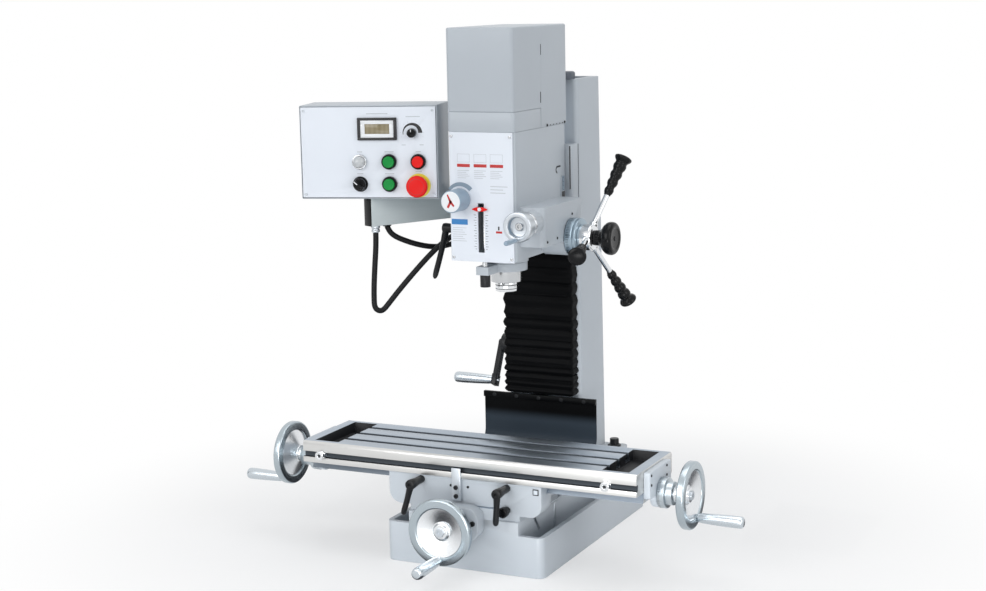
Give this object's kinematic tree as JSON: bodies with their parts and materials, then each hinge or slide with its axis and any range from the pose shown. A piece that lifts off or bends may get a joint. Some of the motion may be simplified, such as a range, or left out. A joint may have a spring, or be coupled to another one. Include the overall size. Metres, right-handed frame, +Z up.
{
  "type": "bench milling and drilling machine",
  "caption": "Bench mill-drill with dovetail column, cross-slide table, handwheels, capstan quill feed, tilting geared head and a side control box.",
  "frame": {"origin": "centre of the base casting's underside, on the surface the machine stands on", "axes": "+X along the table to the right, +Y from the operator to the column, +Z up the column"},
  "size_m": [1.044, 0.718, 1.015],
  "materials": {
    "machine_paint": "satin light grey paint",
    "plate_white": "smooth white plate",
    "ground_steel": "ground and oiled",
    "bright_metal": "polished and plated",
    "ground_iron": "ground cast iron",
    "black_steel": "blackened",
    "black_plastic": "moulded black",
    "rubber_black": "matt rubber",
    "bronze": "machined bronze",
    "red_plastic": "moulded red",
    "green_plastic": "moulded green",
    "white_plastic": "moulded white"
  },
  "bodies": {
    "base": {"base_casting": "machine_paint", "column": "machine_paint", "column_top_plate": "black_steel", "bellows": "rubber_black", "apron": "rubber_black", "cross_bracket": "machine_paint"},
    "elevating_screw": {"elevating_screw": "ground_steel"},
    "crank": {"crank": "black_steel"},
    "crank_handle": {"crank_handle": "bright_metal"},
    "cross_feed": {"cross_screw": "ground_steel", "cross_wheel": "bright_metal"},
    "cross_handle": {"cross_handle": "bright_metal"},
    "saddle": {"saddle": "machine_paint", "saddle_gibs": "ground_steel", "feed_nuts": "bronze", "stop_bracket": "bright_metal"},
    "table_lock_left": {"table_lock_left": "black_plastic"},
    "table_lock_right": {"table_lock_right": "black_plastic"},
    "saddle_lock_knob": {"saddle_lock_knob": "black_plastic"},
    "table": {"table": "ground_iron", "end_brackets": "machine_paint"},
    "long_feed": {"long_screw": "ground_steel", "long_wheels": "bright_metal"},
    "left_handle": {"left_handle": "bright_metal"},
    "right_handle": {"right_handle": "bright_metal"},
    "stop_dog_left": {"stop_dog_left": "bright_metal"},
    "stop_dog_right": {"stop_dog_right": "bright_metal"},
    "carriage": {"carriage": "machine_paint", "elevating_nut": "bronze"},
    "head": {"head_casting": "machine_paint", "front_plate": "plate_white", "gearbox_lid": "machine_paint", "spindle_cover": "machine_paint", "motor_housing": "machine_paint", "motor": "black_steel", "arm": "machine_paint", "control_box": "machine_paint", "control_panel": "plate_white", "panel_fittings": "black_plastic", "cable_long": "rubber_black", "cable_short": "rubber_black", "cable_glands": "black_plastic"},
    "motor_pinion": {"motor_pinion": "ground_steel"},
    "drive_gear": {"drive_gear": "ground_steel"},
    "quill": {"quill": "ground_steel", "spindle_bearings": "ground_steel", "depth_stop": "ground_steel"},
    "spindle": {"spindle": "ground_steel"},
    "capstan": {"capstan": "bright_metal", "capstan_grips": "black_plastic"},
    "clutch_knob": {"clutch_knob": "black_plastic"},
    "fine_feed_wheel": {"fine_feed_wheel": "black_plastic"},
    "range_knob": {"range_knob": "white_plastic"},
    "quill_lock_lever": {"quill_lock_lever": "black_plastic"},
    "run_button": {"run_button": "green_plastic"},
    "stop_button": {"stop_button": "red_plastic"},
    "jog_button": {"jog_button": "green_plastic"},
    "emergency_stop": {"emergency_stop": "red_plastic"},
    "selector_switch": {"selector_switch": "black_plastic"},
    "speed_knob": {"speed_knob": "black_plastic"}
  },
  "joints": [
    {"name": "saddle_slide", "type": "slide", "parent": "base", "child": "saddle", "axis": [0, 1, 0], "range_m": [-0.005, 0.165], "deforming": ["apron"]},
    {"name": "cross_feed_spin", "type": "hinge", "parent": "base", "child": "cross_feed", "pos_m": [0, -0.32, 0.099], "axis": [0, 1, 0], "range_deg": [-361, 11881]},
    {"name": "cross_handle_spin", "type": "hinge", "parent": "cross_feed", "child": "cross_handle", "pos_m": [-0.00181, -0.358, 0.04703], "axis": [0, 1, 0], "continuous": true},
    {"name": "table_slide", "type": "slide", "parent": "saddle", "child": "table", "axis": [1, 0, 0], "range_m": [-0.18, 0.18]},
    {"name": "long_feed_spin", "type": "hinge", "parent": "table", "child": "long_feed", "pos_m": [0.363, -0.161, 0.164], "axis": [1, 0, 0], "range_deg": [-12961, 12961]},
    {"name": "left_handle_spin", "type": "hinge", "parent": "long_feed", "child": "left_handle", "pos_m": [-0.4275, -0.18098, 0.11599], "axis": [-1, 0, 0], "continuous": true},
    {"name": "right_handle_spin", "type": "hinge", "parent": "long_feed", "child": "right_handle", "pos_m": [0.4275, -0.14018, 0.11635], "axis": [1, 0, 0], "continuous": true},
    {"name": "table_lock_left_turn", "type": "hinge", "parent": "saddle", "child": "table_lock_left", "pos_m": [-0.09, -0.25, 0.166], "axis": [0, -1, 0], "range_deg": [-60, 0]},
    {"name": "table_lock_right_turn", "type": "hinge", "parent": "saddle", "child": "table_lock_right", "pos_m": [0.09, -0.25, 0.166], "axis": [0, -1, 0], "range_deg": [0, 60]},
    {"name": "saddle_lock_turn", "type": "hinge", "parent": "saddle", "child": "saddle_lock_knob", "pos_m": [0.09, -0.25, 0.124], "axis": [0, -1, 0], "range_deg": [-180, 180]},
    {"name": "left_dog_slide", "type": "slide", "parent": "table", "child": "stop_dog_left", "axis": [-1, 0, 0], "range_m": [-0.2, 0.03]},
    {"name": "right_dog_slide", "type": "slide", "parent": "table", "child": "stop_dog_right", "axis": [-1, 0, 0], "range_m": [-0.03, 0.2]},
    {"name": "head_slide", "type": "slide", "parent": "base", "child": "carriage", "axis": [0, 0, 1], "range_m": [-0.18, 0.11], "deforming": ["bellows"]},
    {"name": "crank_spin", "type": "hinge", "parent": "base", "child": "crank", "pos_m": [-0.081, 0.141, 0.357], "axis": [-1, 0, 0], "range_deg": [-12961, 7921]},
    {"name": "elevating_screw_spin", "type": "hinge", "parent": "base", "child": "elevating_screw", "pos_m": [0, 0.141, 0.905], "axis": [0, 0, -1], "range_deg": [-12961, 7921]},
    {"name": "crank_handle_spin", "type": "hinge", "parent": "crank", "child": "crank_handle", "pos_m": [-0.081, 0.105, 0.285], "axis": [-1, 0, 0], "continuous": true},
    {"name": "head_tilt", "type": "hinge", "parent": "carriage", "child": "head", "pos_m": [0, 0.093, 0.67], "axis": [0, -1, 0], "range_deg": [-45, 45]},
    {"name": "quill_feed", "type": "slide", "parent": "head", "child": "quill", "axis": [0, 0, -1], "range_m": [0, 0.07001]},
    {"name": "spindle_spin", "type": "hinge", "parent": "quill", "child": "spindle", "pos_m": [0, -0.045, 0.503], "axis": [0, 0, 1], "continuous": true},
    {"name": "drive_gear_spin", "type": "hinge", "parent": "head", "child": "drive_gear", "pos_m": [0, -0.045, 0.503], "axis": [0, 0, 1], "continuous": true},
    {"name": "motor_spin", "type": "hinge", "parent": "head", "child": "motor_pinion", "pos_m": [0, 0.035, 0.82], "axis": [0, 0, 1], "continuous": true},
    {"name": "capstan_turn", "type": "hinge", "parent": "head", "child": "capstan", "pos_m": [0.119, -0.0008, 0.608], "axis": [1, 0, 0], "range_deg": [0, 250.67]},
    {"name": "clutch_turn", "type": "hinge", "parent": "capstan", "child": "clutch_knob", "pos_m": [0.17, -0.0008, 0.608], "axis": [1, 0, 0], "range_deg": [0, 90]},
    {"name": "fine_feed_spin", "type": "hinge", "parent": "head", "child": "fine_feed_wheel", "pos_m": [0.0955, -0.165, 0.65], "axis": [0, -1, 0], "continuous": true},
    {"name": "range_select", "type": "hinge", "parent": "head", "child": "range_knob", "pos_m": [-0.045, -0.145, 0.692], "axis": [0, -1, 0], "range_deg": [-60, 0]},
    {"name": "quill_lock_turn", "type": "hinge", "parent": "head", "child": "quill_lock_lever", "pos_m": [-0.07, -0.08, 0.626], "axis": [-1, 0, 0], "range_deg": [-30, 45]},
    {"name": "run_press", "type": "slide", "parent": "head", "child": "run_button", "axis": [-0.2756, 0.9613, 0], "range_m": [0, 0.003], "stiffness_N_per_m": 700},
    {"name": "stop_press", "type": "slide", "parent": "head", "child": "stop_button", "axis": [-0.2756, 0.9613, 0], "range_m": [0, 0.003], "stiffness_N_per_m": 700},
    {"name": "jog_press", "type": "slide", "parent": "head", "child": "jog_button", "axis": [-0.2756, 0.9613, 0], "range_m": [0, 0.003], "stiffness_N_per_m": 700},
    {"name": "emergency_press", "type": "slide", "parent": "head", "child": "emergency_stop", "axis": [-0.2756, 0.9613, 0], "range_m": [0, 0.006], "stiffness_N_per_m": 900},
    {"name": "selector_turn", "type": "hinge", "parent": "head", "child": "selector_switch", "pos_m": [-0.24322, -0.1796, 0.719], "axis": [0.2756, -0.9613, 0], "range_deg": [-10, 80]},
    {"name": "speed_turn", "type": "hinge", "parent": "head", "child": "speed_knob", "pos_m": [-0.14325, -0.15093, 0.817], "axis": [0.2756, -0.9613, 0], "range_deg": [-135, 135]}
  ],
  "couplings": [
    {"joint": "cross_feed_spin", "follows": "saddle_slide", "rad_per_m": 1256.6},
    {"joint": "long_feed_spin", "follows": "table_slide", "rad_per_m": 1256.6},
    {"joint": "crank_spin", "follows": "head_slide", "rad_per_m": 1256.6},
    {"joint": "elevating_screw_spin", "follows": "head_slide", "rad_per_m": 1256.6},
    {"joint": "quill_feed", "follows": "capstan_turn", "m_per_rad": 0.016},
    {"joint": "spindle_spin", "follows": "drive_gear_spin", "ratio": 1},
    {"joint": "motor_spin", "follows": "drive_gear_spin", "ratio": -2.5556}
  ]
}
